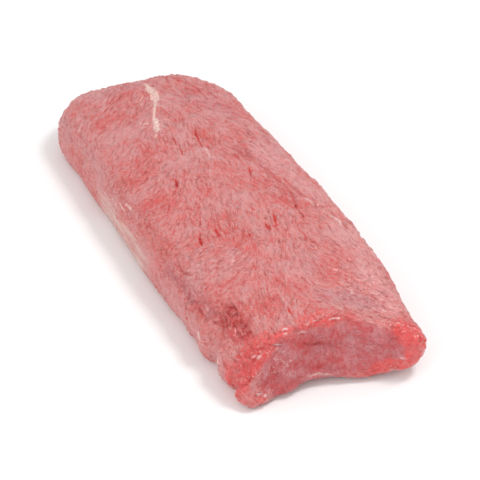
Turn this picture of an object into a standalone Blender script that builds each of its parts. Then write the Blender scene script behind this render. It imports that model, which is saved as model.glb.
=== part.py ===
import math

import bmesh
import bpy
from mathutils import Vector, noise

# A boneless, fully trimmed loin of raw meat, lying on its flat underside.
# X runs along the loin from the tapered tail to the cut end, Y across it, Z up, in metres.
# The left side, -Y, is the side of the narrow strap muscle.

NODE_NAME = "loin"

# Driving dimensions of the slab before it is shaped
LENGTH = 0.362
WIDTH = 0.144
HEIGHT = 0.055

# Mesh cells along, across and down the rim
CELLS_LONG = 64
CELLS_ACROSS = 27
CELLS_RIM = 10

# Corner radii in plan, by end and side
CORNER_RADIUS = {
    ("tail", "left"): 0.036,
    ("tail", "right"): 0.044,
    ("cut", "left"): 0.015,
    ("cut", "right"): 0.018,
}
SMALLEST_RADIUS = 0.004

# How each wall rolls over: width of the shoulder, height of the widest line, width of the curl
# under it, and how full the shoulder is (2 is a plain ellipse, more is squarer). The last value
# says how closely the wall keeps its own heights as it comes to a corner.
WALLS = {
    "tail": {"shoulder": 0.034, "widest": 0.020, "curl": 0.010, "fullness": 2.1, "hold": 10},
    "cut": {"shoulder": 0.008, "widest": 0.012, "curl": 0.003, "fullness": 2.6, "hold": 24},
    "left": {"shoulder": 0.021, "widest": 0.013, "curl": 0.006, "fullness": 2.2, "hold": 5},
    "right": {"shoulder": 0.027, "widest": 0.022, "curl": 0.012, "fullness": 2.2, "hold": 5},
}

# Height as a share of HEIGHT, by share of the length: a thin tail and a full middle
HEIGHT_ALONG = [(0.0, 0.84), (0.2, 0.94), (0.5, 1.0), (0.8, 1.0), (1.0, 0.97)]
CROWN_DROP = 0.004
CUT_RIGHT_DROP = 0.009

# How far each long edge stands in from the full width, by share of the length
LEFT_EDGE = [(0.0, -0.002), (0.2, 0.001), (0.5, 0.0015), (0.72, 0.006), (0.88, 0.006), (1.0, 0.0085)]
RIGHT_EDGE = [
    (0.0, 0.008), (0.25, 0.005), (0.45, 0.001), (0.65, -0.001), (0.8, 0.001), (0.9, 0.007), (1.0, 0.006),
]

# How far each end stands in from the full length, by place across from -1 at left to 1 at right
TAIL_EDGE = [(-1.0, 0.001), (-0.4, 0.0), (0.2, 0.003), (0.6, 0.008), (1.0, 0.013)]
CUT_EDGE = [
    (-1.0, 0.023), (-0.7, 0.020), (-0.35, 0.021), (0.0, 0.018), (0.25, 0.012), (0.6, 0.004), (1.0, -0.003),
]

# The cut face leans back towards its top by this much, by place across, and is dished
CUT_LEAN = [(-1.0, 0.012), (-0.4, 0.009), (0.0, 0.007), (0.25, 0.011), (0.6, 0.004), (1.0, -0.008)]
CUT_DISH = 0.004
CUT_REACH = 0.045

# Soft lumps and hollows: centre, reach along each axis, and the push at the centre
LUMPS = {
    "strap nub": ((0.154, -0.057, 0.006), (0.010, 0.009, 0.011), (0.002, -0.003, 0.0)),
    "notch above the nub": ((0.143, -0.067, 0.010), (0.008, 0.008, 0.014), (0.0, 0.005, 0.0)),
    "strap end": ((0.126, -0.064, 0.018), (0.014, 0.012, 0.014), (0.001, -0.002, 0.001)),
    "strap middle": ((0.080, -0.066, 0.026), (0.045, 0.010, 0.014), (0.0, -0.0015, 0.0015)),
    "sunken left corner": ((0.134, -0.053, 0.050), (0.034, 0.020, 0.030), (0.0, 0.001, -0.008)),
    "arch under the cut": ((0.156, -0.008, 0.0), (0.016, 0.030, 0.012), (-0.002, 0.0, 0.005)),
    "lifted right corner": ((0.176, 0.048, 0.0), (0.024, 0.026, 0.016), (-0.003, 0.0, 0.005)),
}

# Valleys pressed into the top: a run of plan points, half width and depth
VALLEYS = {
    "strap seam": ([(0.050, -0.068), (0.086, -0.063), (0.112, -0.056), (0.132, -0.052)], 0.007, 0.0022),
    "right seam": ([(0.004, 0.036), (0.019, 0.036), (0.039, 0.035)], 0.006, 0.0018),
    "edge seam": ([(0.024, 0.047), (0.041, 0.054), (0.068, 0.060)], 0.005, 0.0024),
}

# Uneven surface: wavelength along and across, depth, and a shift that gives each its own pattern
RIPPLES = [
    {"long": 0.085, "across": 0.050, "depth": 0.0010, "shift": 3.0},
    {"long": 0.030, "across": 0.022, "depth": 0.0009, "shift": 11.0},
    {"long": 0.018, "across": 0.012, "depth": 0.0005, "shift": 23.0},
]
FLAT_BELOW = 0.0015

MEAT_COLOUR = (0.62, 0.22, 0.21, 1.0)
MEAT_ROUGHNESS = 0.45


def clear_scene():
    for obj in list(bpy.data.objects):
        bpy.data.objects.remove(obj, do_unlink=True)


def smooth_step(value, low, high):
    share = min(1.0, max(0.0, (value - low) / (high - low)))
    return share * share * (3.0 - 2.0 * share)


def along(table, share):
    # A smooth curve through the table's (share, value) points
    points = [table[0], *table, table[-1]]
    index = 1
    while index < len(points) - 3 and share > points[index + 1][0]:
        index += 1
    before, start, end, after = points[index - 1:index + 3]
    gap = end[0] - start[0]
    part = (min(max(share, start[0]), end[0]) - start[0]) / gap
    leave = (end[1] - before[1]) / (end[0] - before[0]) * gap
    arrive = (after[1] - start[1]) / (after[0] - start[0]) * gap
    climb = end[1] - start[1]
    return (
        start[1]
        + leave * part
        + (3.0 * climb - 2.0 * leave - arrive) * part ** 2
        + (leave + arrive - 2.0 * climb) * part ** 3
    )


def wall_profile(wall, turn, height):
    # Inset and level of a wall, for turn from -1 at the underside to 1 at the top
    angle = abs(turn) * math.pi / 2
    if turn < 0.0:
        return wall["curl"] * (1.0 - math.cos(angle)), wall["widest"] * (1.0 - math.sin(angle))
    power = 2.0 / wall["fullness"]
    inset = wall["shoulder"] * (1.0 - math.cos(angle) ** power)
    level = wall["widest"] + (height - wall["widest"]) * math.sin(angle) ** power
    return inset, level


def round_corner(x, y, half_x, half_y, radius):
    # Bends the square corner of a plan into an arc, for x and y measured from the middle
    past_x = abs(x) - (half_x - radius)
    past_y = abs(y) - (half_y - radius)
    if past_x <= 0.0 or past_y <= 0.0:
        return x, y
    round_x = past_x * math.sqrt(1.0 - past_y ** 2 / (2.0 * radius ** 2))
    round_y = past_y * math.sqrt(1.0 - past_x ** 2 / (2.0 * radius ** 2))
    return (
        math.copysign(half_x - radius + round_x, x),
        math.copysign(half_y - radius + round_y, y),
    )


def height_at(share, across):
    height = HEIGHT * along(HEIGHT_ALONG, share) - CROWN_DROP * across ** 2
    return height - CUT_RIGHT_DROP * smooth_step(share, 0.8, 1.0) * smooth_step(across, 0.0, 1.0)


def slab_point(u, v, w):
    # Carries a point of the cube, -1 to 1 each way, on to the rolled slab
    end = "cut" if u > 0.0 else "tail"
    side = "right" if v > 0.0 else "left"
    share = (u + 1.0) / 2.0
    height = height_at(share, v)
    rows = {name: wall_profile(wall, w, height) for name, wall in WALLS.items()}
    low_x = rows["tail"][0] - LENGTH / 2
    high_x = LENGTH / 2 - rows["cut"][0]
    low_y = rows["left"][0] - WIDTH / 2
    high_y = WIDTH / 2 - rows["right"][0]
    half_x = (high_x - low_x) / 2
    half_y = (high_y - low_y) / 2
    radius = CORNER_RADIUS[end, side] - (rows[end][0] + rows[side][0]) / 2
    x, y = round_corner(u * half_x, v * half_y, half_x, half_y, max(SMALLEST_RADIUS, radius))

    if w >= 1.0:
        level = height
    elif w <= -1.0:
        level = 0.0
    else:
        # Round a corner, one wall's level gives way to the next wall's
        facing = {"tail": -u, "cut": u, "left": -v, "right": v}
        pull = {name: max(0.0, facing[name]) ** wall["hold"] for name, wall in WALLS.items()}
        level = sum(pull[name] * rows[name][1] for name in WALLS) / sum(pull.values())
    return Vector((x + (low_x + high_x) / 2, y + (low_y + high_y) / 2, level)), share


def bend_outline(point, share):
    # Draws the long edges and then the ends in to their own lines
    across = point.y / (WIDTH / 2)
    edge = along(LEFT_EDGE, share) if across < 0.0 else along(RIGHT_EDGE, share)
    point.y -= edge * math.copysign(abs(across) ** 1.5, across)
    across = point.y / (WIDTH / 2)
    point.x += along(TAIL_EDGE, across) * (1.0 - smooth_step(share, 0.0, 0.4))
    point.x -= along(CUT_EDGE, across) * smooth_step(share, 0.6, 1.0)


def shape_cut(point, w):
    across = point.y / (WIDTH / 2)
    rise = point.z / HEIGHT
    face = LENGTH / 2 - along(CUT_EDGE, across)
    near_cut = smooth_step(point.x, face - CUT_REACH, face - 0.004)
    hollow = max(0.0, 1.0 - (across / 0.8) ** 4) * max(0.0, 1.0 - ((rise - 0.5) / 0.45) ** 4)
    on_face = 0.35 + 0.65 * (1.0 - abs(w))
    point.x -= near_cut * (along(CUT_LEAN, across) * rise + CUT_DISH * hollow * on_face)


def push_lumps(point):
    for centre, reach, push in LUMPS.values():
        away = sum(((point[axis] - centre[axis]) / reach[axis]) ** 2 for axis in range(3))
        point += Vector(push) * math.exp(-away)


def nearest_on_run(x, y, run):
    # Distance in plan to a run of points, and the share of the run where it is nearest
    best, best_share = math.inf, 0.0
    for index, (start, end) in enumerate(zip(run, run[1:])):
        step_x, step_y = end[0] - start[0], end[1] - start[1]
        share = ((x - start[0]) * step_x + (y - start[1]) * step_y) / (step_x ** 2 + step_y ** 2)
        share = min(1.0, max(0.0, share))
        gap = math.hypot(x - start[0] - share * step_x, y - start[1] - share * step_y)
        if gap < best:
            best, best_share = gap, (index + share) / (len(run) - 1)
    return best, best_share


def press_valleys(point):
    on_top = smooth_step(point.z, HEIGHT * 0.45, HEIGHT * 0.75)
    for run, half, depth in VALLEYS.values():
        gap, share = nearest_on_run(point.x, point.y, run)
        fade = math.sin(math.pi * (0.1 + 0.8 * share))
        point.z -= depth * fade * on_top * math.exp(-((gap / half) ** 2))


def ripple(point, normal):
    # Muscle bundles leave the surface uneven, longer along the loin than across it
    for wave in RIPPLES:
        spot = Vector((
            point.x / wave["long"],
            point.y / wave["across"],
            point.z / wave["across"] + wave["shift"],
        ))
        point += normal * wave["depth"] * noise.noise(spot)


def centre_on_underside(bm):
    # The origin is the middle of the loin's plan, on the surface that it rests on
    for axis in (0, 1):
        low = min(v.co[axis] for v in bm.verts)
        high = max(v.co[axis] for v in bm.verts)
        for vert in bm.verts:
            vert.co[axis] -= (low + high) / 2


def build_loin():
    bm = bmesh.new()
    bmesh.ops.create_cube(bm, size=2.0)
    for axis, cells in enumerate((CELLS_LONG, CELLS_ACROSS, CELLS_RIM)):
        edges = [e for e in bm.edges if abs((e.verts[0].co - e.verts[1].co)[axis]) > 1e-6]
        bmesh.ops.subdivide_edges(bm, edges=edges, cuts=cells - 1, use_grid_fill=True)

    for vert in bm.verts:
        u, v, w = vert.co
        point, share = slab_point(u, v, w)
        bend_outline(point, share)
        shape_cut(point, w)
        push_lumps(point)
        press_valleys(point)
        vert.co = point

    bm.normal_update()
    resting = [v for v in bm.verts if v.co.z < FLAT_BELOW]
    normals = {v: v.normal.copy() for v in bm.verts}
    for vert in bm.verts:
        ripple(vert.co, normals[vert])
        vert.co.z = max(0.0, vert.co.z)
    for vert in resting:
        vert.co.z = 0.0
    centre_on_underside(bm)
    bmesh.ops.recalc_face_normals(bm, faces=bm.faces)

    mesh = bpy.data.meshes.new(NODE_NAME)
    bm.to_mesh(mesh)
    bm.free()
    mesh.shade_smooth()
    return bpy.data.objects.new(NODE_NAME, mesh)


def raw_meat():
    material = bpy.data.materials.new("raw_meat")
    material.use_nodes = True
    shader = material.node_tree.nodes["Principled BSDF"]
    shader.inputs["Base Color"].default_value = MEAT_COLOUR
    shader.inputs["Roughness"].default_value = MEAT_ROUGHNESS
    shader.inputs["Metallic"].default_value = 0.0
    return material


def main():
    clear_scene()
    collection = bpy.data.collections.new("boneless_loin")
    bpy.context.scene.collection.children.link(collection)
    loin = build_loin()
    loin.data.materials.append(raw_meat())
    collection.objects.link(loin)


main()
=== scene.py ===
import math

import bmesh
import bpy
import numpy as np
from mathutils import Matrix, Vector, noise
from mathutils.bvhtree import BVHTree


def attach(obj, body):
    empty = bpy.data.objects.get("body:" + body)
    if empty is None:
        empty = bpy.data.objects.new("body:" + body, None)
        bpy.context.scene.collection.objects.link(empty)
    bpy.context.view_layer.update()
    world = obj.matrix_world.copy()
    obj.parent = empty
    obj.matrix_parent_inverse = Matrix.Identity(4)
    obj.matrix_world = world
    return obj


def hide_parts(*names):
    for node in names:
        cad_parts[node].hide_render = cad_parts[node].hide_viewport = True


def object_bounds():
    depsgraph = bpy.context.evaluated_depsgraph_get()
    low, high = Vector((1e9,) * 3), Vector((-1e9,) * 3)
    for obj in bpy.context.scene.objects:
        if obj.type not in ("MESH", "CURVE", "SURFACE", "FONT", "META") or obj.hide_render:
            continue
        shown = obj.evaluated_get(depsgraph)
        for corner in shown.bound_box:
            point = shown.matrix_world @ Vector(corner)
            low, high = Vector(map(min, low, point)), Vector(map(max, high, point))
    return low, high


# Boneless loin of raw meat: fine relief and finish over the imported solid.
# Lengths are metres unless a name says mm or pixels.

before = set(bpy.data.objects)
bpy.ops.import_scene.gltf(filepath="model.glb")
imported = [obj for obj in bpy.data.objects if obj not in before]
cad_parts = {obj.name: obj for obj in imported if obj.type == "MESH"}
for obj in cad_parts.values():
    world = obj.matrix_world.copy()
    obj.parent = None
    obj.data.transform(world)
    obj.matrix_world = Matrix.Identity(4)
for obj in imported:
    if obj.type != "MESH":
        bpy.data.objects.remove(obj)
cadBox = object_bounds()
scene = bpy.context.scene
mm = 0.001
print("frame loaded")

# Camera. Pixels below are those of the square picture that it takes.
viewFrom = {
    "target": (0.021, -0.00075, 0.020),
    "azimuth": 64.5,
    "elevation": 40.0,
    "distance": 1.3,
    "lens": 137.0,
    "sensor": 36.0,
    "pixels": 480,
}


def cameraAxes():
    azimuth = math.radians(viewFrom["azimuth"])
    elevation = math.radians(viewFrom["elevation"])
    level = math.cos(elevation)
    back = Vector((math.sin(azimuth) * level, -math.cos(azimuth) * level, math.sin(elevation)))
    right = Vector((math.cos(azimuth), math.sin(azimuth), 0))
    return right, back.cross(right), back


def cameraPlace():
    back = cameraAxes()[2]
    return Vector(viewFrom["target"]) + back * viewFrom["distance"]


def makeCamera():
    data = bpy.data.cameras.new("photoCamera")
    data.lens = viewFrom["lens"]
    data.sensor_width = viewFrom["sensor"]
    data.clip_start = 0.05
    data.clip_end = 20
    camera = bpy.data.objects.new("photoCamera", data)
    camera.location = cameraPlace()
    camera.rotation_mode = "QUATERNION"
    camera.rotation_quaternion = (-cameraAxes()[2]).to_track_quat("-Z", "Y")
    scene.collection.objects.link(camera)
    scene.camera = camera


def pixelRay(pixel):
    right, up, back = cameraAxes()
    half = viewFrom["pixels"] / 2
    spread = viewFrom["sensor"] / 2 / viewFrom["lens"] / half
    return (right * (pixel[0] - half) * spread + up * (half - pixel[1]) * spread - back).normalized()


makeCamera()
print("camera placed")

# The bare loin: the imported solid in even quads, its facets smoothed away
loinMesh = {
    "quad": 2.45 * mm,  # halved everywhere but on the flat underside
    "quickQuad": 4.0 * mm,
    "smoothing": 4.5 * mm,  # how far the smoothing reaches
    "underside": 0.9 * mm,  # below this the loin is flat again
    "fineReach": 1.2 * mm,  # quads this near a fine mark are halved once more
}


def evenQuads(piece, size):
    remesh = piece.modifiers.new("evenQuads", "REMESH")
    remesh.mode = "VOXEL"
    remesh.voxel_size = size
    shown = piece.evaluated_get(bpy.context.evaluated_depsgraph_get())
    even = bpy.data.meshes.new_from_object(shown)
    piece.modifiers.clear()
    piece.data = even


def smoothAll(bm, rounds):
    for _ in range(rounds):
        bmesh.ops.smooth_vert(
            bm, verts=bm.verts, factor=0.5, use_axis_x=True, use_axis_y=True, use_axis_z=True
        )


def halveQuads(bm, wanted):
    # Halves the faces between wanted points, and splits the many-sided ones left round them
    edges = [edge for edge in bm.edges if edge.verts[0] in wanted and edge.verts[1] in wanted]
    bmesh.ops.subdivide_edges(bm, edges=edges, cuts=1, use_grid_fill=True)
    manySided = [face for face in bm.faces if len(face.verts) > 4]
    bmesh.ops.triangulate(bm, faces=manySided)


def flattenUnderside(bm):
    for vert in bm.verts:
        if vert.co.z < loinMesh["underside"]:
            vert.co.z = 0


def bareLoin():
    bm = bmesh.new()
    bm.from_mesh(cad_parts["loin"].data)
    bmesh.ops.remove_doubles(bm, verts=bm.verts, dist=0.001 * mm)
    mesh = bpy.data.meshes.new("meatLoin")
    bm.to_mesh(mesh)
    bm.free()
    piece = bpy.data.objects.new("meatLoin", mesh)
    scene.collection.objects.link(piece)
    size = loinMesh["quad"]
    evenQuads(piece, size)
    bm = bmesh.new()
    bm.from_mesh(piece.data)
    smoothAll(bm, round(2 * (loinMesh["smoothing"] / size) ** 2))
    halveQuads(bm, {vert for vert in bm.verts if vert.co.z > loinMesh["underside"]})
    smoothAll(bm, 2)
    flattenUnderside(bm)
    return piece, bm


loin, loinBm = bareLoin()
print("bare loin:", len(loinBm.verts), "points")

castTree = BVHTree.FromBMesh(loinBm)


def surfacePoint(pixel):
    # Where the camera's ray through a pixel meets the loin, or None
    hit = castTree.ray_cast(cameraPlace(), pixelRay(pixel))[0]
    return None if hit is None else np.array(hit)


def surfaceRun(pixels, step=3.0):
    # Points on the loin under a run of pixels, one every few pixels
    found = []
    for start, end in zip(pixels, pixels[1:]):
        pieces = max(1, round(math.dist(start, end) / step))
        for index in range(pieces + 1):
            share = index / pieces
            pixel = (start[0] + (end[0] - start[0]) * share, start[1] + (end[1] - start[1]) * share)
            hit = surfacePoint(pixel)
            if hit is not None:
                found.append(hit)
    return found


# Marks on the flesh: each is a run of pixels, a half width in mm and a strength.
# A run is cast from the camera onto the loin, so that the mark lies on the surface.
marks = {
    "slit": [
        ([(171, 135), (174, 139), (176, 145)], 0.9, 1.00),
        ([(178, 147), (181, 151), (183, 157)], 0.9, 1.00),
        ([(175, 176), (176, 182), (177, 188)], 1.0, 1.00),
        ([(195, 125), (196, 133), (199, 141), (205, 149)], 0.9, 1.00),
        ([(248, 166), (250, 170), (251, 175)], 1.2, 0.91),
        ([(200, 210), (200, 220), (200, 229)], 0.6, 0.78),
        ([(200, 232), (199, 238), (202, 245)], 1.0, 1.00),
        ([(213, 224), (216, 230), (221, 238)], 0.9, 1.00),
        ([(273, 211), (275, 219), (276, 226)], 1.2, 1.00),
        ([(264, 221), (268, 226), (272, 232)], 1.0, 1.00),
        ([(276, 226), (277, 229), (278, 232)], 0.7, 0.91),
        ([(247, 230), (249, 233), (251, 237)], 0.9, 0.78),
        ([(278, 235), (279, 242), (281, 249)], 0.6, 0.65),
        ([(284, 228), (286, 233)], 0.7, 0.65),
        ([(304, 234), (308, 240)], 0.9, 0.78),
        ([(301, 243), (297, 250)], 0.7, 0.65),
        ([(293, 246), (295, 252), (298, 260)], 0.6, 0.65),
        ([(250, 206), (253, 209), (256, 211)], 1.0, 0.78),
        ([(229, 159), (231, 166)], 0.7, 0.52),
        ([(252, 264), (256, 269)], 0.7, 0.65),
        ([(247, 271), (244, 281)], 0.6, 0.52),
        ([(265, 287), (269, 292)], 0.6, 0.65),
        ([(287, 304), (289, 310), (293, 316)], 0.9, 1.00),
        ([(307, 308), (311, 301)], 0.6, 0.65),
        ([(169, 218), (165, 224), (160, 229)], 0.7, 0.78),
        ([(176, 227), (174, 232), (172, 237)], 0.7, 0.78),
        ([(151, 222), (147, 228)], 0.7, 0.65),
        ([(320, 295), (328, 296), (335, 298)], 0.5, 0.65),
        ([(324, 290), (333, 292), (342, 294)], 0.4, 0.52),
        ([(281, 176), (288, 183), (294, 191)], 0.9, 0.65),
        ([(307, 200), (318, 205), (333, 206)], 0.7, 0.45),
        ([(324, 209), (335, 219)], 0.7, 0.52),
        ([(112, 188), (117, 180)], 0.6, 0.52),
        ([(104, 154), (98, 163)], 0.6, 0.45),
    ],
    "fold": [
        ([(274, 177), (284, 184), (292, 194), (297, 208), (303, 216)], 1.6, 0.9),
        ([(294, 186), (309, 200), (319, 206), (335, 207)], 1.6, 1.0),
        ([(322, 208), (332, 217), (342, 223), (354, 232)], 1.4, 0.8),
        ([(176, 258), (180, 270), (190, 276)], 1.6, 0.7),
        ([(193, 287), (186, 302), (189, 320)], 1.6, 0.8),
        ([(196, 305), (206, 318), (222, 326)], 1.6, 0.6),
        ([(222, 362), (228, 368)], 1.8, 0.9),
        ([(263, 346), (252, 366), (250, 382)], 1.2, 0.5),
        ([(234, 389), (240, 386), (248, 384)], 1.3, 0.8),
        ([(262, 343), (274, 346), (287, 347)], 1.2, 0.8),
        ([(302, 343), (313, 346), (324, 345), (337, 347)], 1.4, 0.8),
    ],
    "fat": [
        ([(143, 79), (145, 83), (150, 89)], 1.1, 1.0),
        ([(150, 89), (154, 93), (155, 99)], 3.4, 0.85),
        ([(155, 97), (155, 106), (154, 114), (155, 123)], 1.2, 0.95),
        ([(155, 119), (157, 130)], 2.1, 0.8),
        ([(157, 128), (156, 137)], 1.2, 0.55),
        ([(154, 123), (144, 124), (135, 122)], 0.5, 0.6),
        ([(143, 95), (141, 99), (138, 104)], 0.6, 0.5),
        ([(147, 104), (138, 107)], 0.5, 0.35),
        ([(157, 122), (164, 119), (172, 121)], 0.5, 0.5),
        ([(158, 105), (166, 108)], 0.6, 0.5),
        ([(159, 124), (165, 127)], 0.7, 0.5),
        ([(120, 203), (124, 211)], 0.9, 0.7),
        ([(126, 205), (131, 209)], 1.2, 0.6),
        ([(112, 198), (116, 205)], 0.8, 0.6),
        ([(309, 376), (318, 374), (330, 375)], 1.0, 0.5),
        ([(213, 357), (218, 362)], 1.6, 0.5),
        # A painted highlight on the strap's bulge, laid in the fat colour
        ([(200, 332), (202, 337)], 1.4, 0.6),
    ],
    "pale": [
        ([(102, 104), (113, 94)], 0.9, 0.4),
        ([(97, 108), (107, 113)], 0.6, 0.45),
        ([(85, 121), (80, 129), (76, 137)], 0.8, 0.6),
        ([(193, 289), (186, 302), (190, 317), (191, 328)], 0.8, 0.8),
        # A painted highlight on the strap's bulge
        ([(198, 331), (203, 341)], 1.6, 0.5),
        ([(216, 347), (215, 353), (219, 357)], 0.6, 0.6),
        # Painted highlights along the lower lip of the long fold
        ([(300, 193), (310, 200), (321, 206)], 1.0, 1.0),
        ([(320, 207), (331, 215), (341, 222), (351, 233)], 1.1, 1.0),
        ([(283, 369), (288, 361), (292, 359), (297, 354)], 0.5, 0.6),
        ([(363, 340), (371, 346), (371, 354), (382, 362)], 0.5, 0.4),
        ([(202, 145), (208, 152), (212, 160)], 1.2, 0.45),
        ([(208, 159), (212, 170)], 0.9, 0.35),
        ([(304, 328), (309, 322), (312, 318)], 0.6, 0.5),
        ([(226, 318), (229, 326), (235, 333)], 0.5, 0.5),
        ([(238, 322), (241, 333), (246, 340)], 0.5, 0.45),
        ([(222, 340), (232, 346), (238, 354)], 0.5, 0.45),
        ([(205, 305), (209, 312)], 1.0, 0.5),
        ([(162, 262), (163, 270)], 1.2, 0.4),
        ([(170, 266), (178, 272), (186, 274)], 0.6, 0.4),
    ],
    # Painted highlights: pale glints on the wet rim and lumps, over a slight real rise and gloss
    "glint": [
        ([(281, 331), (285, 329), (289, 330)], 0.9, 0.9),
        ([(284, 334), (288, 333)], 0.6, 0.7),
        ([(296, 334), (302, 332), (309, 333)], 0.7, 0.8),
        ([(267, 343), (276, 345), (287, 346)], 0.5, 0.9),
        ([(312, 322), (320, 320)], 0.6, 0.6),
        ([(325, 321), (334, 319), (345, 318)], 0.6, 0.8),
        ([(256, 362), (259, 357), (263, 353)], 0.9, 0.5),
        ([(252, 358), (257, 355)], 0.7, 0.4),
        ([(257, 393), (262, 394)], 1.0, 0.8),
        ([(262, 397), (267, 394)], 0.9, 0.6),
        ([(393, 326), (398, 324), (405, 326)], 0.8, 0.6),
        ([(408, 325), (414, 329), (417, 331)], 0.6, 0.6),
        ([(382, 321), (388, 320)], 0.6, 0.4),
        ([(399, 357), (407, 357)], 0.7, 0.7),
        ([(401, 361), (411, 360)], 0.5, 0.4),
        ([(339, 310), (342, 309)], 0.7, 0.5),
        ([(201, 333), (202, 336)], 0.9, 0.7),
    ],
    "raw": [
        ([(142, 226), (153, 238), (164, 248)], 8.0, 0.8),
        ([(72, 150), (86, 165), (96, 178)], 5.0, 0.6),
        ([(97, 184), (110, 192), (122, 182)], 5.0, 0.5),
        ([(170, 228), (190, 236), (206, 232)], 6.0, 0.4),
        ([(256, 214), (270, 224), (282, 222)], 6.0, 0.5),
        ([(299, 240), (308, 241)], 2.6, 0.7),
        ([(248, 252), (275, 254)], 5.0, 0.2),
        ([(212, 300), (226, 306), (240, 312)], 7.0, 0.7),
        ([(196, 305), (200, 322), (212, 338), (226, 350)], 5.0, 0.6),
        ([(165, 86), (178, 86), (190, 84)], 3.0, 0.5),
        ([(190, 128), (205, 132)], 5.0, 0.4),
        ([(240, 175), (262, 196), (250, 210)], 7.0, 0.25),
        ([(112, 88), (124, 84), (136, 82)], 1.2, 0.7),
        ([(152, 79), (170, 78), (188, 79)], 1.6, 0.8),
        ([(370, 265), (384, 285)], 6.0, 0.3),
    ],
    "deep": [
        ([(229, 314), (237, 324), (246, 334)], 7.0, 1.0),
        ([(252, 350), (242, 364), (238, 378)], 9.0, 0.3),
        ([(218, 318), (226, 325)], 4.0, 0.9),
        ([(226, 333), (236, 341)], 4.0, 0.6),
        ([(196, 127), (204, 140)], 3.0, 0.35),
        ([(238, 148), (252, 158)], 5.0, 0.35),
        ([(302, 345), (315, 343), (330, 344)], 3.0, 0.6),
        ([(305, 370), (325, 366), (345, 368)], 3.0, 0.4),
        ([(276, 376), (292, 380), (306, 374)], 3.0, 0.5),
    ],
    "blotch": [
        ([(168, 272), (178, 281), (186, 289)], 4.5, 0.8),
        ([(190, 296), (202, 305), (214, 314)], 5.0, 0.8),
        ([(222, 322), (232, 330)], 3.0, 0.4),
        ([(244, 336), (250, 344)], 3.5, 0.4),
    ],
    "cool": [
        ([(322, 294), (345, 297), (372, 303)], 8.0, 1.0),
        ([(98, 98), (118, 90), (138, 84)], 8.0, 0.7),
        ([(66, 116), (64, 130), (70, 142)], 5.0, 0.5),
        ([(238, 150), (256, 158), (272, 168)], 7.0, 0.5),
        ([(185, 95), (206, 102), (230, 112)], 9.0, 0.6),
        ([(150, 138), (156, 145)], 4.0, 0.4),
        ([(300, 190), (285, 168), (266, 146)], 5.0, 0.4),
        ([(300, 262), (318, 256)], 8.0, 0.3),
        ([(352, 340), (372, 344), (394, 348)], 8.0, 0.5),
        ([(284, 352), (268, 366), (256, 382)], 5.0, 0.5),
    ],
    # Paler pink bands: partly paler flesh, partly painted light along the right edge and on the strap's
    # bulge
    "paleAndPaintedLight": [
        ([(262, 150), (300, 180), (340, 215)], 11.0, 0.7),
        ([(340, 225), (366, 262), (394, 305)], 12.0, 0.85),
        ([(80, 100), (120, 84)], 6.0, 0.5),
        ([(194, 330), (206, 350), (220, 360)], 6.0, 0.6),
        ([(150, 258), (166, 292), (184, 322)], 7.0, 0.5),
        ([(320, 240), (340, 262)], 10.0, 0.3),
        ([(178, 150), (210, 158)], 9.0, 0.25),
        ([(290, 270), (310, 290)], 12.0, 0.25),
    ],
    "coral": [
        ([(264, 342), (276, 336), (290, 330), (306, 327), (322, 323), (340, 320)], 4.2, 0.95),
        ([(276, 338), (288, 336), (300, 334)], 4.0, 0.8),
        ([(296, 322), (318, 314), (334, 312), (352, 316)], 4.0, 0.6),
        ([(350, 318), (372, 319), (392, 323)], 2.0, 0.4),
        ([(404, 330), (416, 336), (420, 348), (414, 358)], 9.0, 1.0),
        ([(410, 362), (392, 363), (376, 369)], 6.0, 0.95),
        ([(260, 350), (248, 360), (240, 372), (236, 382)], 11.0, 1.0),
        ([(228, 366), (229, 376), (233, 384)], 6.0, 0.6),
        ([(236, 334), (252, 342), (264, 336)], 6.0, 0.7),
        ([(238, 392), (246, 400), (262, 400)], 6.0, 0.6),
        ([(226, 312), (240, 322)], 6.0, 0.4),
    ],
    "stringy": [
        ([(228, 316), (234, 332), (242, 346), (238, 360)], 9.0, 0.5),
        ([(258, 350), (272, 352), (286, 358), (290, 366)], 8.0, 0.7),
        ([(250, 378), (262, 372), (276, 370)], 6.0, 0.8),
        ([(262, 396), (270, 392)], 5.0, 0.8),
        ([(300, 378), (330, 372)], 4.0, 0.5),
        ([(322, 312), (350, 314), (400, 326)], 4.0, 0.6),
        ([(190, 290), (196, 320), (206, 346)], 7.0, 0.6),
        ([(110, 200), (140, 250)], 8.0, 0.4),
    ],
}
markEdges = {  # how softly a mark ends and how ragged its edge is, in mm
    "slit": (0.6, 0.6),
    "fold": (1.6, 0.5),
    "fat": (0.6, 0.6),
    "pale": (0.6, 0.6),
    "glint": (0.5, 0.5),
    "raw": (6.0, 3.0),
    "deep": (4.0, 2.0),
    "blotch": (4.0, 2.0),
    "cool": (6.0, 2.0),
    "paleAndPaintedLight": (8.0, 2.0),
    "coral": (4.0, 3.0),
    "stringy": (5.0, 2.0),
}
markRag = {"waves": 2.5, "least": 0.8 * mm}  # a ragged edge's waves are this many times its raggedness
fineMarks = ("slit", "fold", "fat", "pale", "glint")
taperedMarks = ("slit", "fold", "pale", "glint")
taper = 1.0 * mm  # how far a tapered mark has drawn in at its ends
runReach = 30 * mm  # places further than this from a mark aren't measured
farAway = 1.0

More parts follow.
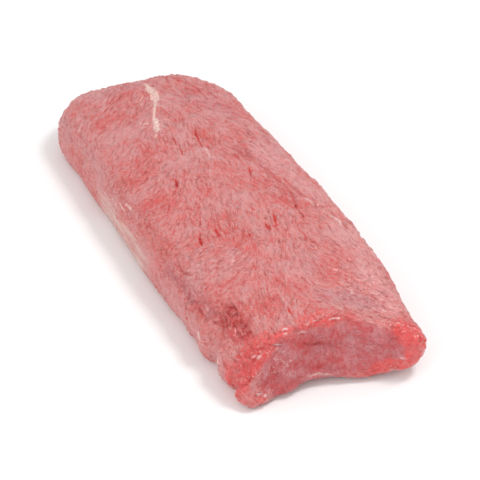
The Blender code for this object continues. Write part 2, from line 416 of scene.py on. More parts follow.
# The torn edge round the cut, in mm, and the outline of the cut face inside it, in pixels
cutRim = {
    "runs": [
        [(264, 343), (272, 336), (284, 331), (302, 325), (322, 319), (347, 315)],
        [(392, 323), (414, 328), (424, 338), (427, 350), (423, 362), (412, 367), (392, 370)],
        [(264, 343), (256, 353), (248, 363), (240, 376), (237, 388), (243, 398), (256, 402), (268, 397)],
    ],
    "width": 2.2,
    "edge": 2.6,
    "ragged": 1.2,
    "raggedSize": 4,
    "outlineRagged": 5.0,  # pixels
    "outlineEdge": 12.0,  # pixels
    "facing": (0.25, 0.55),  # how far the surface must face along X
    "nearEnd": (0.135, 0.145),  # and how near the end it must lie, in metres
    "outline": [
        (266, 346), (285, 337), (303, 331), (323, 326), (347, 321), (372, 322), (396, 330), (410, 340),
        (412, 352), (404, 362), (372, 371), (340, 378), (300, 390), (280, 402), (264, 392), (256, 380),
        (254, 368), (258, 356),
    ],
}

# Where the membrane shows on the left wall
skinPlace = {
    "height": (18 * mm, 33 * mm),
    "ragged": 4 * mm,
    "raggedSize": 8 * mm,
    "facing": (0.35, 0.75),
    "start": (-0.085, -0.055),
    "end": (-0.004, 0.024),
}

# Swells and hollows: a pixel, a radius and a push, both in mm
swells = {
    "notch behind the lobe": ((211, 353), 11, -4.4),
    "lump above the lobe": ((229, 378), 6, 1.0),
    "nick beside the lobe": ((234, 388), 4, -1.4),
    "lobe's left side": ((241, 394), 7, 2.8),
    "lobe": ((250, 398), 8, 1.8),
    "foot right of the lobe": ((290, 384), 10, 2.4),
    "near right foot": ((408, 362), 9, 2.6),
    "strap belly": ((202, 342), 11, 2.2),
    "strap middle": ((188, 312), 9, 1.4),
    "dip above the strap": ((220, 322), 10, -2.8),
    "dip by the cut": ((240, 330), 9, -2.0),
    "dip in the left edge": ((182, 285), 9, -2.2),
    "coral swell": ((244, 356), 9, 1.6),
    "swell above the cut": ((330, 312), 12, 1.0),
    "dip in the cut": ((318, 345), 9, -1.4),
    "dip left in the cut": ((276, 378), 9, -1.6),
    "near right corner": ((418, 350), 9, 1.0),
}
onWall = {"slope": 0.35, "heightShare": 0.2}  # where it is this upright, heights hardly limit a swell
fadeIn = 4 * mm  # relief, and what swells raise or lower, fade in over this height above the underside

# Which way the fibres run: strokes that flow outwards from the vein
fibreStrokes = [
    ((100, 118), (90, 129)), ((122, 100), (110, 112)), ((116, 148), (106, 162)), ((131, 178), (121, 192)),
    ((150, 212), (141, 228)), ((168, 217), (160, 230)), ((142, 122), (136, 136)), ((168, 160), (160, 176)),
    ((224, 258), (200, 267)), ((206, 244), (184, 256)), ((196, 276), (178, 286)), ((236, 276), (214, 284)),
    ((214, 300), (204, 313)), ((155, 140), (160, 154)), ((176, 174), (181, 190)), ((200, 210), (206, 228)),
    ((198, 130), (205, 148)), ((214, 224), (222, 240)), ((250, 200), (260, 216)), ((275, 212), (283, 228)),
    ((280, 238), (289, 254)), ((270, 270), (279, 286)), ((288, 302), (295, 316)), ((240, 300), (245, 316)),
    ((180, 90), (196, 98)), ((215, 112), (236, 119)), ((240, 146), (260, 158)), ((268, 160), (286, 172)),
    ((299, 190), (317, 203)), ((322, 210), (342, 224)), ((330, 250), (348, 262)), ((344, 280), (364, 291)),
    ((320, 292), (338, 300)), ((306, 222), (320, 236)), ((230, 165), (242, 178)), ((375, 300), (395, 311)),
    ((352, 235), (368, 248)),
]
fibreLanes = {
    "reach": 9 * mm,  # how far one stroke holds sway over its neighbours
    "directions": (-75, -45, -15, 15, 45),  # degrees from +X; the grain is laid along these
    "fade": (12, 18),  # degrees away from a direction between which its grain fades out
    "wander": 7,  # degrees by which the fibres stray
    "wanderSize": 7 * mm,
}


def smoothStep(value, low, high):
    share = np.clip((value - low) / (high - low), 0, 1)
    return share * share * (3 - 2 * share)


def runDistance(places, run, tapered=False):
    # Distance from each place to a run; a tapered run draws away towards its ends
    nearest = np.full(len(places), farAway)
    low = np.min(run, axis=0) - runReach
    high = np.max(run, axis=0) + runReach
    close = np.flatnonzero(np.all((places > low) & (places < high), axis=1))
    near = places[close]
    best = np.full(len(near), farAway)
    where = np.zeros(len(near))
    for index, (start, end) in enumerate(zip(run, run[1:])):
        along = end - start
        length = along @ along
        share = np.clip((near - start) @ along / length, 0, 1) if length > 0 else np.zeros(len(near))
        distance = np.linalg.norm(near - start - share[:, None] * along, axis=1)
        closer = distance < best
        best[closer] = distance[closer]
        where[closer] = (index + share[closer]) / (len(run) - 1)
    if tapered:
        best += np.abs(2 * where - 1) ** 2 * taper
    nearest[close] = best
    return nearest


castRuns = {
    name: [(surfaceRun(pixels), width * mm, strength) for pixels, width, strength in runs]
    for name, runs in marks.items()
}
rimRuns = [surfaceRun(run) for run in cutRim["runs"]]
print("marks cast onto the loin")


def refineMarks(bm):
    places = np.array([vert.co for vert in bm.verts])
    near = np.zeros(len(places), dtype=bool)
    for name in fineMarks:
        for run, width, _ in castRuns[name]:
            near |= runDistance(places, run) < width + loinMesh["fineReach"]
    for run in rimRuns:
        near |= runDistance(places, run) < cutRim["width"] * mm + loinMesh["fineReach"]
    halveQuads(bm, {vert for vert, held in zip(bm.verts, near) if held})


refineMarks(loinBm)
loinBm.to_mesh(loin.data)
loinBm.free()
loin.data.shade_smooth()
print("fine quads:", len(loin.data.vertices), "points")


def readArray(mesh, name):
    values = np.empty(len(mesh.vertices) * 3, dtype=np.float32)
    mesh.vertices.foreach_get(name, values)
    return values.reshape(-1, 3).astype(float)


points = readArray(loin.data, "co")
normals = readArray(loin.data, "normal")


def seedShift(seed):
    return Vector((seed * 7.31, seed * 3.17, seed * 5.73))


def noiseAt(places, seed):
    # Smooth noise between -1 and 1, one wave a unit
    shift = seedShift(seed)
    return np.array([noise.noise(Vector(place) + shift) for place in places])


def pillowsAt(places, seed):
    # Rounded cells, 1 at their middles and 0 where they meet
    shift = seedShift(seed)
    gaps = []
    for place in places:
        distances = noise.voronoi(Vector(place) + shift)[0]
        gaps.append(distances[1] - distances[0])
    return smoothStep(np.array(gaps), 0.0, bundleGaps["pillows"])


def wrinklesAt(places, seed):
    # Long winding creases, 0 along them and 1 between
    return smoothStep(np.abs(noiseAt(places, seed)), 0.0, bundleGaps["wrinkles"])


def fibreAngles():
    # Degrees from +X at each point, drawn from the strokes near it
    flow = np.zeros((len(points), 2))
    for start, end in fibreStrokes:
        tail, head = surfacePoint(start)[:2], surfacePoint(end)[:2]
        run = (head - tail) / np.linalg.norm(head - tail)
        distance = np.sum((points[:, :2] - (tail + head) / 2) ** 2, axis=1)
        flow += run / (distance + fibreLanes["reach"] ** 2)[:, None] ** 2
    angles = np.degrees(np.arctan2(flow[:, 1], flow[:, 0]))
    angles += fibreLanes["wander"] * noiseAt(points / fibreLanes["wanderSize"], 3)
    return np.clip(angles, fibreLanes["directions"][0], fibreLanes["directions"][-1])


def alongFibres(pattern, length, width, seed):
    # A pattern drawn out along the fibres, each lane laid straight and faded into the next
    total = np.zeros(len(points))
    for direction in fibreLanes["directions"]:
        share = 1 - smoothStep(np.abs(fibreAngle - direction), *fibreLanes["fade"])
        held = np.flatnonzero(share > 0)
        x, y, z = points[held].T
        turn = math.radians(direction)
        along = (x * math.cos(turn) + y * math.sin(turn)) / length
        across = (y * math.cos(turn) - x * math.sin(turn)) / width
        total[held] += share[held] * pattern(np.column_stack((along, across, z / width)), seed)
    return total


def markMask(name):
    mask = np.zeros(len(points))
    edge, ragged = (part * mm for part in markEdges[name])
    rag = ragged * noiseAt(points / (max(ragged, markRag["least"]) * markRag["waves"]), 8)
    for run, width, strength in castRuns[name]:
        distance = runDistance(points, run, name in taperedMarks) + rag
        mask = np.maximum(mask, strength * (1 - smoothStep(distance, width - edge, width + edge / 2)))
    return mask


def toPixels():
    right, up, back = (np.array(axis) for axis in cameraAxes())
    seen = points - np.array(cameraPlace())
    half = viewFrom["pixels"] / 2
    spread = viewFrom["sensor"] / 2 / viewFrom["lens"] / half
    depth = -(seen @ back) * spread
    return np.column_stack((half + seen @ right / depth, half - seen @ up / depth))


def insideOutline(pixels, outline, edge):
    # 1 inside the outline, 0 outside, soft over a few pixels
    inside = np.zeros(len(pixels), dtype=bool)
    distance = np.full(len(pixels), 1e3)
    for start, end in zip(outline, outline[1:] + outline[:1]):
        start, end = np.array(start, float), np.array(end, float)
        along = end - start
        share = np.clip((pixels - start) @ along / (along @ along), 0, 1)
        distance = np.minimum(distance, np.linalg.norm(pixels - start - share[:, None] * along, axis=1))
        crosses = (start[1] > pixels[:, 1]) != (end[1] > pixels[:, 1])
        slope = along[0] / along[1] if along[1] else 0.0
        inside ^= crosses & (pixels[:, 0] < start[0] + (pixels[:, 1] - start[1]) * slope)
    signed = np.where(inside, distance, -distance)
    return smoothStep(signed, -edge / 2, edge / 2)


fibreAngle = fibreAngles()
print("fibres laid")


def rimMask(ragged):
    nearest = np.min([runDistance(points, run) for run in rimRuns], axis=0)
    fade = cutRim["width"] + cutRim["edge"]
    return 1 - smoothStep(nearest + cutRim["ragged"] * mm * ragged, cutRim["width"] * mm * 0.4, fade * mm)


def cutMask(ragged):
    facesOut = smoothStep(normals[:, 0], *cutRim["facing"]) * smoothStep(points[:, 0], *cutRim["nearEnd"])
    pixels = toPixels() + cutRim["outlineRagged"] * ragged[:, None]
    return insideOutline(pixels, cutRim["outline"], cutRim["outlineEdge"]) * facesOut


def skinMask():
    level = points[:, 2] + skinPlace["ragged"] * noiseAt(points / skinPlace["raggedSize"], 12)
    lowOnWall = 1 - smoothStep(level, *skinPlace["height"])
    onLeftWall = smoothStep(-normals[:, 1], *skinPlace["facing"])
    begun = smoothStep(points[:, 0], *skinPlace["start"])
    ended = smoothStep(points[:, 0], *skinPlace["end"])
    return lowOnWall * onLeftWall * (begun * (1 - ended))


masks = {name: markMask(name) for name in marks}
rimRagged = noiseAt(points / (cutRim["raggedSize"] * mm), 11)
masks["rim"] = rimMask(rimRagged)
masks["cut"] = cutMask(rimRagged)
masks["skin"] = skinMask()
print("masks drawn")

# Relief: heights in mm
relief = {
    "pillows": 0.9,
    "smallPillows": 0.6,
    "wrinkles": 1.3,
    "streaks": 0.25,
    "dimples": 0.5,
    "slitDepth": 1.2,
    "foldDepth": 2.0,
    "rimBead": 0.5,
    "rimLumps": 1.1,
    "coralLumps": 0.7,
    "cutGrain": 0.6,
    "cutLumps": 1.3,
    "fatSink": 0.25,
    "glintRise": 0.3,
}
reliefWaves = {  # how long the relief's waves are, in mm
    "uneven": 22,
    "streaks": (6, 2.5),
    "dimples": 13,
    "lumps": 3.4,
    "cutGrain": (2.4, 7),
    "cutLumps": 11,
}
fibreShares = {  # how much of the fibre relief is left
    "membrane": 0.2,
    "wall": 0.6,
    "wallToTop": (0.2, 0.7),
    "even": 0.75,  # everywhere, with more on raw patches, and more or less by chance
    "raw": 0.6,
    "chance": 0.6,
}


def swellMoves():
    # Pulls the flesh in or out round each middle, down to the underside, which stays flat
    moves = np.zeros((len(points), 3))
    for pixel, radius, push in swells.values():
        middle, outwards = castTree.ray_cast(cameraPlace(), pixelRay(pixel))[:2]
        away = points - np.array(middle)
        if abs(outwards.z) < onWall["slope"]:
            outwards = Vector((outwards.x, outwards.y, 0)).normalized()
            away[:, 2] *= onWall["heightShare"]
        distance = np.linalg.norm(away, axis=1) / (radius * mm)
        moves += push * np.clip(1 - distance * distance, 0, 1)[:, None] ** 2 * np.array(outwards)
    moves[:, 2] *= smoothStep(points[:, 2], 0.0, fadeIn)
    return moves


def applyRelief():
    onTop = smoothStep(normals[:, 2], *fibreShares["wallToTop"])
    onTop = fibreShares["wall"] + (1 - fibreShares["wall"]) * onTop
    flesh = (1 - masks["cut"]) * (1 - (1 - fibreShares["membrane"]) * masks["skin"]) * onTop
    uneven = fibreShares["even"] + fibreShares["raw"] * masks["raw"]
    uneven += fibreShares["chance"] * noiseAt(points / (reliefWaves["uneven"] * mm), 6)
    height = np.zeros(len(points))
    for name, pattern in bundles.items():
        height += relief[name] * (pattern - pattern.mean()) * flesh * uneven
    length, width = reliefWaves["streaks"]
    height += relief["streaks"] * alongFibres(noiseAt, length * mm, width * mm, 20) * flesh
    height += relief["dimples"] * noiseAt(points / (reliefWaves["dimples"] * mm), 41)
    height -= relief["slitDepth"] * masks["slit"]
    height -= relief["foldDepth"] * masks["fold"]
    height -= relief["fatSink"] * masks["fat"]
    height += relief["glintRise"] * masks["glint"]
    lumps = noiseAt(points / (reliefWaves["lumps"] * mm), 42)
    height += masks["rim"] * (relief["rimBead"] + relief["rimLumps"] * lumps)
    height += masks["coral"] * relief["coralLumps"] * lumps
    across, tall = reliefWaves["cutGrain"]
    drawnUp = np.column_stack((points[:, :2] / (across * mm), points[:, 2:] / (tall * mm)))
    height += relief["cutGrain"] * masks["cut"] * noiseAt(drawnUp, 43)
    height += relief["cutLumps"] * masks["cut"] * noiseAt(points / (reliefWaves["cutLumps"] * mm), 44)
    height *= smoothStep(points[:, 2], 0.0, fadeIn)
    moved = points + (normals * height[:, None] + swellMoves()) * mm
    low, high = (np.array(corner) for corner in cadBox)
    return np.clip(moved, low, high)


bundleShapes = {  # the pattern, its length and width along the fibres, and its seed
    "pillows": (pillowsAt, 8 * mm, 4.2 * mm, 5),
    "smallPillows": (pillowsAt, 5 * mm, 2.8 * mm, 9),
    "wrinkles": (wrinklesAt, 15 * mm, 5 * mm, 15),
}
bundleGaps = {"pillows": 0.7, "wrinkles": 0.28}  # how wide the dips between are, as a share
bundles = {name: alongFibres(*shape) for name, shape in bundleShapes.items()}
loin.data.vertices.foreach_set("co", applyRelief().astype(np.float32).ravel())
# The ridge heights also tint the flesh below as painted shade: redder and darker in the grooves, paler on
# the tops
ridgeShade = np.sqrt(sum(bundles.values()) / len(bundles))
drawn = dict(masks, fibreAngle=fibreAngle, ridgeShade=ridgeShade - ridgeShade.mean())
for name, values in drawn.items():
    attribute = loin.data.attributes.new(name, "FLOAT", "POINT")
    attribute.data.foreach_set("value", values.astype(np.float32))
loin.data.update()
print("relief raised:", sum(len(face.vertices) - 2 for face in loin.data.polygons), "triangles")

# Light: each softbox has a power, a size and a place. The light is a little over white, by the
# white level, which the paints below allow for.
studio = {
    "floor": 3.0,
    "floorDrop": 0.3 * mm,
    "floorColour": (0.93, 0.93, 0.93, 1.0),
    "floorRoughness": 0.8,
    "sky": 0.81,
    "top": (6.2, 0.3, (0.25, 0.50, 1.2)),
    "front": (9.5, 1.5, (0.5, -1.6, 0.9)),
    "whiteLevel": 1.12,
}


# Finish
def paint(red, green, blue):
    # The base colour that shows as this screen colour, 0 to 255, under the studio's light
    linear = []
    for value in (red, green, blue):
        share = value / 255
        level = share / 12.92 if share <= 0.04045 else ((share + 0.055) / 1.055) ** 2.4
        linear.append(level / studio["whiteLevel"])
    return (*linear, 1.0)


meatColours = {
    "red": paint(213, 88, 84),
    "pink": paint(214, 147, 145),
    "strand": paint(230, 178, 174),
    "gap": paint(210, 70, 66),
    "raw": paint(221, 98, 88),
    "deep": paint(180, 44, 42),
    "blotch": paint(184, 94, 98),
    "cool": paint(199, 134, 138),
    # the paler pink, partly laid as painted light on edges and bulges
    "paleAndPaintedLight": paint(227, 160, 158),
    "slit": paint(216, 44, 38),
    "pale": paint(240, 200, 196),
    # a painted highlight
    "glint": paint(250, 226, 224),
    "fat": paint(250, 222, 210),
    "skin": paint(217, 177, 166),
    "skinStreak": paint(226, 198, 186),
    "cutRed": paint(198, 64, 68),
    "cutHaze": paint(205, 127, 131),
    "coral": paint(230, 70, 68),
    "coralHaze": paint(226, 122, 116),
}


def addNode(tree, kind, settings=None, **inputs):
    node = tree.nodes.new(kind)
    for name, value in (settings or {}).items():
        setattr(node, name, value)
    for name, value in inputs.items():
        feed(tree, node.inputs[name], value)
    return node


def feed(tree, socket, value):
    if isinstance(value, bpy.types.NodeSocket):
        tree.links.new(value, socket)
    else:
        socket.default_value = value


def sums(tree, operation, *values):
    node = tree.nodes.new("ShaderNodeMath")
    node.operation = operation
    for socket, value in zip(node.inputs, values):
        feed(tree, socket, value)
    return node.outputs[0]


def span(tree, value, low, high, toLow=0.0, toHigh=1.0):
    node = tree.nodes.new("ShaderNodeMapRange")
    node.interpolation_type = "SMOOTHSTEP"
    for socket, part in zip(node.inputs, (value, low, high, toLow, toHigh)):
        feed(tree, socket, part)
    return node.outputs[0]


def blendColour(tree, share, under, over):
    node = tree.nodes.new("ShaderNodeMix")
    node.data_type = "RGBA"
    feed(tree, node.inputs[0], share)
    feed(tree, node.inputs[6], under)
    feed(tree, node.inputs[7], over)
    return node.outputs[2]


def stretch(tree, vector, scale):
    node = addNode(tree, "ShaderNodeVectorMath", {"operation": "MULTIPLY"})
    feed(tree, node.inputs[0], vector)
    feed(tree, node.inputs[1], scale)
    return node.outputs[0]


def noiseTexture(tree, vector, perUnit, detail, roughness):
    settings = dict(Vector=vector, Scale=perUnit, Detail=detail, Roughness=roughness)
    return addNode(tree, "ShaderNodeTexNoise", **settings).outputs


def cloud(tree, vector, size, detail=2.0, roughness=0.5):
    return noiseTexture(tree, vector, 1 / size, detail, roughness)["Fac"]


# The finest grain, too fine for the mesh: noise waves in one cell, and the noise levels that show
grainLook = {
    "length": 4.0 * mm,
    "width": 0.85 * mm,
    "swaySize": 8 * mm,
    "sway": 3.5 * mm,
    "strandWaves": 1.0,
    "strand": (0.59, 0.73),
    "smallPit": (0.45, 0.28),
    "largePitWaves": 0.55,
    "largePit": (0.36, 0.25),
    "creaseWaves": 0.36,
    "crease": (0.045, 0.004),
    "creaseShown": (0.46, 0.58),
    "toneWaves": 0.5,
    "pitHeight": -0.5,
    "creaseHeight": -0.9,
}


def grainGroup():
    # Short strokes drawn out along X: pale strands, creases, red pits, a slow tone and their height
    group = bpy.data.node_groups.new("fibreGrain", "ShaderNodeTree")
    for name in ("Place", "Length", "Width"):
        kind = "NodeSocketVector" if name == "Place" else "NodeSocketFloat"
        group.interface.new_socket(name, in_out="INPUT", socket_type=kind)
    for name in ("Strand", "Groove", "Pit", "Tone", "Height"):
        group.interface.new_socket(name, in_out="OUTPUT", socket_type="NodeSocketFloat")
    given = group.nodes.new("NodeGroupInput").outputs
    made = group.nodes.new("NodeGroupOutput").inputs
    sway = noiseTexture(group, given["Place"], 1 / grainLook["swaySize"], 2.0, 0.5)
    centred = addNode(group, "ShaderNodeVectorMath", {"operation": "SUBTRACT"})
    feed(group, centred.inputs[0], sway["Color"])
    centred.inputs[1].default_value = (0.5, 0.5, 0.5)
    swayed = addNode(group, "ShaderNodeVectorMath", {"operation": "MULTIPLY_ADD"})
    feed(group, swayed.inputs[0], centred.outputs[0])
    swayed.inputs[1].default_value = [grainLook["sway"]] * 3
    feed(group, swayed.inputs[2], given["Place"])
    perLength = sums(group, "DIVIDE", 1.0, given["Length"])
    perWidth = sums(group, "DIVIDE", 1.0, given["Width"])
    sizes = addNode(group, "ShaderNodeCombineXYZ", X=perLength, Y=perWidth, Z=perWidth)
    cells = stretch(group, swayed.outputs[0], sizes.outputs[0])
    strand = noiseTexture(group, cells, grainLook["strandWaves"], 2.0, 0.55)["Fac"]
    feed(group, made["Strand"], span(group, strand, *grainLook["strand"]))
    sparse = noiseTexture(group, cells, grainLook["largePitWaves"], 2.0, 0.5)["Fac"]
    smallPit = span(group, strand, *grainLook["smallPit"])
    largePit = span(group, sparse, *grainLook["largePit"])
    feed(group, made["Pit"], sums(group, "MAXIMUM", smallPit, largePit))
    crease = noiseTexture(group, cells, grainLook["creaseWaves"], 2.0, 0.55)["Fac"]
    creaseGap = sums(group, "ABSOLUTE", sums(group, "SUBTRACT", crease, 0.5))
    shown = span(group, sparse, *grainLook["creaseShown"])
    groove = sums(group, "MULTIPLY", span(group, creaseGap, *grainLook["crease"]), shown)
    feed(group, made["Groove"], groove)
    feed(group, made["Tone"], noiseTexture(group, cells, grainLook["toneWaves"], 4.0, 0.7)["Fac"])
    dug = sums(group, "MULTIPLY_ADD", largePit, grainLook["pitHeight"], strand)
    feed(group, made["Height"], sums(group, "MULTIPLY_ADD", groove, grainLook["creaseHeight"], dug))
    return group


def fibreGrain(tree, place, angle):
    # The grain group laid along each lane, weighed by how near the fibres run to it
    group = grainGroup()
    totals = {}
    for direction in fibreLanes["directions"]:
        away = sums(tree, "ABSOLUTE", sums(tree, "SUBTRACT", angle, float(direction)))
        share = span(tree, away, *fibreLanes["fade"], 1.0, 0.0)
        turned = addNode(tree, "ShaderNodeVectorRotate", {"rotation_type": "Z_AXIS"}, Vector=place)
        turned.inputs["Angle"].default_value = -math.radians(direction)
        given = {"Place": turned.outputs[0], "Length": grainLook["length"], "Width": grainLook["width"]}
        lane = addNode(tree, "ShaderNodeGroup", {"node_tree": group}, **given)
        for output in lane.outputs:
            part = sums(tree, "MULTIPLY", output, share)
            if output.name in totals:
                part = sums(tree, "ADD", totals[output.name], part)
            totals[output.name] = part
    return totals


# The material: sizes of its clouds, how far each colour covers, and the noise levels between colours
meatLook = {
    "cloudSize": 22 * mm,
    "cloudShare": 0.48,
    "speckSize": 0.8 * mm,
    "speckShare": 0.6,
    "ridgeShadeShare": 0.18,
    "redToPink": (0.32, 0.62),
    "cutCell": (2.4 * mm, 2.4 * mm, 3.6 * mm),
    "cutHazeSize": 12 * mm,
    "cutHazeShare": 0.6,
    "cutToHaze": (0.36, 0.64),
    "tornSize": 3.6 * mm,
    "patchy": (0.38, 0.60, 0.35, 1.1),
    "tints": {"cool": 0.7, "paleAndPaintedLight": 0.85, "raw": 0.65, "blotch": 0.9},
    "foldShadeShare": 0.45,
    "pitShare": 0.34,
    "pitShareRaw": 0.2,
    "grooveShare": 0.4,
    "strandShare": (0.42, 0.15),  # on the flesh and on the cut
    "coralToHaze": (0.50, 0.72),
    "coralRagged": 1.6,
    "coralCover": (0.15, 0.65, 0.35, 0.95),
    "stringSize": 5 * mm,
    "stringWidth": (0.022, 0.002),
    "stringShare": (0.08, 0.6),
    "skinCell": (22 * mm, 3 * mm, 2.2 * mm),
    "skinToStreak": (0.42, 0.60),
    "skinCover": (0.40, 0.58, 0.1, 0.85),
    "slitShare": 0.95,
    "breakSize": 1.6 * mm,
    "breakUp": (0.34, 0.58, 0.45, 1.0),
    "roughness": (0.40, 0.25),  # dry and wet
    "coat": (0.22, 0.7),  # dry and wet
    "coatRoughness": 0.14,
    "specular": 0.35,
    "subsurface": 0.1,
    "subsurfaceRadius": (1.0, 0.35, 0.25),
    "subsurfaceScale": 1.2 * mm,
    "wetLumpSize": 2.4 * mm,
    "wetLumpHeight": 2.0,
    "bump": 0.45 * mm,
}


def perCell(sizes):
    return [1 / size for size in sizes]


def rawMeat():
    material = bpy.data.materials.new("rawMeat")
    material.use_nodes = True
    tree = material.node_tree
    shader = tree.nodes["Principled BSDF"]
    place = tree.nodes.new("ShaderNodeTexCoord").outputs["Object"]
    mark = {}
    for name in drawn:
        mark[name] = addNode(tree, "ShaderNodeAttribute", {"attribute_name": name}).outputs["Fac"]

    def cover(share, colourName, strength=1.0):
        # Lays one of the named colours over what is there
        amount = share if strength == 1.0 else sums(tree, "MULTIPLY", share, strength)
        return blendColour(tree, amount, colour, meatColours[colourName])

    # Flesh: red and pink in clouds, with pale strands and red pits that follow the fibres
    grain = fibreGrain(tree, place, mark["fibreAngle"])
    softCloud = cloud(tree, place, meatLook["cloudSize"])
    toneShare = sums(tree, "MULTIPLY", grain["Tone"], 1 - meatLook["cloudShare"])
    tone = sums(tree, "MULTIPLY_ADD", softCloud, meatLook["cloudShare"], toneShare)
    speck = sums(tree, "SUBTRACT", cloud(tree, place, meatLook["speckSize"], 2.0, 0.6), 0.5)
    tone = sums(tree, "MULTIPLY_ADD", speck, meatLook["speckShare"], tone)
    # Painted shade from the relief: redder in its grooves, paler on its tops
    tone = sums(tree, "MULTIPLY_ADD", mark["ridgeShade"], meatLook["ridgeShadeShare"], tone)
    redToPink = span(tree, tone, *meatLook["redToPink"])
    colour = blendColour(tree, redToPink, meatColours["red"], meatColours["pink"])

    # The cut face: red under a bluish haze, in a finer grain
    cutPlace = stretch(tree, place, perCell(meatLook["cutCell"]))
    cutGrain = noiseTexture(tree, cutPlace, 1.0, 3.0, 0.6)["Fac"]
    haze = sums(tree, "MULTIPLY", cloud(tree, place, meatLook["cutHazeSize"], 3.0), meatLook["cutHazeShare"])
    cutTone = sums(tree, "MULTIPLY_ADD", cutGrain, 1 - meatLook["cutHazeShare"], haze)
    cutToHaze = span(tree, cutTone, *meatLook["cutToHaze"])
    cutColour = blendColour(tree, cutToHaze, meatColours["cutRed"], meatColours["cutHaze"])
    colour = blendColour(tree, mark["cut"], colour, cutColour)

    # Tints, pits and strands over both
    torn = cloud(tree, place, meatLook["tornSize"], 4.0, 0.65)
    patchy = span(tree, torn, *meatLook["patchy"])
    # Among these tints the paler pink paints light along the right edge and on the strap's bulge
    for name, share in meatLook["tints"].items():
        colour = cover(sums(tree, "MULTIPLY", sums(tree, "MULTIPLY", mark[name], share), patchy), name)
    # Painted shade: the folds darkened along their creases with the gap red
    colour = cover(mark["fold"], "gap", meatLook["foldShadeShare"])
    pitShare = sums(tree, "MULTIPLY_ADD", mark["raw"], meatLook["pitShareRaw"], meatLook["pitShare"])
    colour = cover(grain["Pit"], "gap", pitShare)
    colour = cover(grain["Groove"], "gap", meatLook["grooveShare"])
    colour = cover(grain["Strand"], "strand", span(tree, mark["cut"], 0.0, 1.0, *meatLook["strandShare"]))

    # Torn coral patches, with pale haze and strings
    coralToHaze = span(tree, torn, *meatLook["coralToHaze"])
    coralColour = blendColour(tree, coralToHaze, meatColours["coral"], meatColours["coralHaze"])
    tornAway = sums(tree, "SUBTRACT", torn, 0.5)
    coralEdge = sums(tree, "MULTIPLY_ADD", tornAway, meatLook["coralRagged"], mark["coral"])
    coralShare = sums(tree, "MULTIPLY", mark["coral"], span(tree, coralEdge, *meatLook["coralCover"]))
    colour = blendColour(tree, coralShare, colour, coralColour)
    colour = cover(mark["deep"], "deep", patchy)
    stringNoise = cloud(tree, place, meatLook["stringSize"], 3.0, 0.6)
    stringGap = sums(tree, "ABSOLUTE", sums(tree, "SUBTRACT", stringNoise, 0.5))
    strings = span(tree, stringGap, *meatLook["stringWidth"])
    colour = cover(strings, "pale", span(tree, mark["stringy"], 0.0, 1.0, *meatLook["stringShare"]))

    # Membrane, slits, fat, and painted highlights in the glint marks and a few of the pale and fat ones
    streakPlace = stretch(tree, place, perCell(meatLook["skinCell"]))
    streak = noiseTexture(tree, streakPlace, 1.0, 4.0, 0.65)["Fac"]
    skinToStreak = span(tree, streak, *meatLook["skinToStreak"])
    skinColour = blendColour(tree, skinToStreak, meatColours["skin"], meatColours["skinStreak"])
    skinShare = sums(tree, "MULTIPLY", mark["skin"], span(tree, streak, *meatLook["skinCover"]))
    colour = blendColour(tree, skinShare, colour, skinColour)
    colour = cover(mark["slit"], "slit", meatLook["slitShare"])
    breakUp = span(tree, cloud(tree, place, meatLook["breakSize"]), *meatLook["breakUp"])
    for name in ("pale", "fat", "glint"):
        colour = cover(mark[name], name, breakUp)
    feed(tree, shader.inputs["Base Color"], colour)

    wet = sums(tree, "MAXIMUM", mark["coral"], sums(tree, "MAXIMUM", mark["rim"], mark["glint"]))
    feed(tree, shader.inputs["Roughness"], span(tree, wet, 0.0, 1.0, *meatLook["roughness"]))
    feed(tree, shader.inputs["Coat Weight"], span(tree, wet, 0.1, 1.0, *meatLook["coat"]))
    shader.inputs["Coat Roughness"].default_value = meatLook["coatRoughness"]
    shader.inputs["Specular IOR Level"].default_value = meatLook["specular"]
    shader.inputs["Subsurface Weight"].default_value = meatLook["subsurface"]
    shader.inputs["Subsurface Radius"].default_value = meatLook["subsurfaceRadius"]
    shader.inputs["Subsurface Scale"].default_value = meatLook["subsurfaceScale"]

    wetHeight = sums(tree, "MULTIPLY", cloud(tree, place, meatLook["wetLumpSize"]), wet)
    cutHeight = sums(tree, "MULTIPLY", cutGrain, mark["cut"])
    height = sums(tree, "ADD", grain["Height"], cutHeight)
    height = sums(tree, "MULTIPLY_ADD", wetHeight, meatLook["wetLumpHeight"], height)
    bump = addNode(tree, "ShaderNodeBump", Height=height, Distance=meatLook["bump"], Strength=1.0)
    feed(tree, shader.inputs["Normal"], bump.outputs["Normal"])
    return material


loin.data.materials.clear()
loin.data.materials.append(rawMeat())
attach(loin, "root")
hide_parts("loin")
print("finish laid")


# Floor and lights
def makeFloor():
    bm = bmesh.new()
    bmesh.ops.create_grid(bm, x_segments=1, y_segments=1, size=studio["floor"])
    bmesh.ops.translate(bm, verts=bm.verts, vec=(0, 0, -studio["floorDrop"]))
    mesh = bpy.data.meshes.new("floor")
    bm.to_mesh(mesh)
    bm.free()
    material = bpy.data.materials.new("paleFloor")
    material.use_nodes = True
    shader = material.node_tree.nodes["Principled BSDF"]
    shader.inputs["Base Color"].default_value = studio["floorColour"]
    shader.inputs["Roughness"].default_value = studio["floorRoughness"]
    mesh.materials.append(material)
    floor = bpy.data.objects.new("floor", mesh)
    scene.collection.objects.link(floor)


def makeSoftbox(name, power, size, place):
    data = bpy.data.lights.new(name, "AREA")
    data.energy = power
    data.size = size
    light = bpy.data.objects.new(name, data)
    light.location = place
    aim = Vector(viewFrom["target"]) - Vector(place)
    light.rotation_mode = "QUATERNION"
    light.rotation_quaternion = aim.to_track_quat("-Z", "Y")
    scene.collection.objects.link(light)


def makeSky():
    world = bpy.data.worlds.new("studio")
    world.use_nodes = True
    background = world.node_tree.nodes["Background"]
    background.inputs["Color"].default_value = (1.0, 1.0, 1.0, 1.0)
    background.inputs["Strength"].default_value = studio["sky"]
    scene.world = world


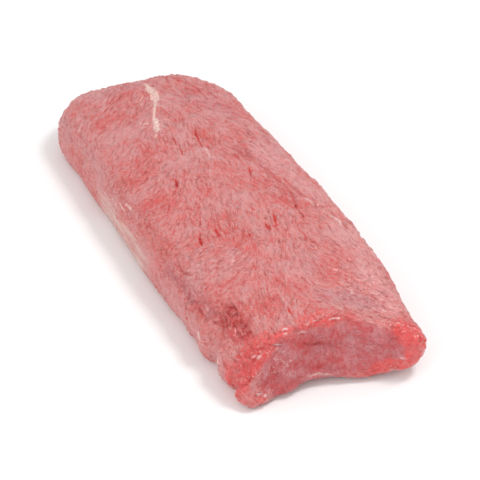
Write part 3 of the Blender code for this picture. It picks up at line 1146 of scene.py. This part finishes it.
makeFloor()
makeSky()
makeSoftbox("topSoftbox", *studio["top"])
makeSoftbox("frontSoftbox", *studio["front"])
scene.view_settings.view_transform = "Standard"
print("studio lit")
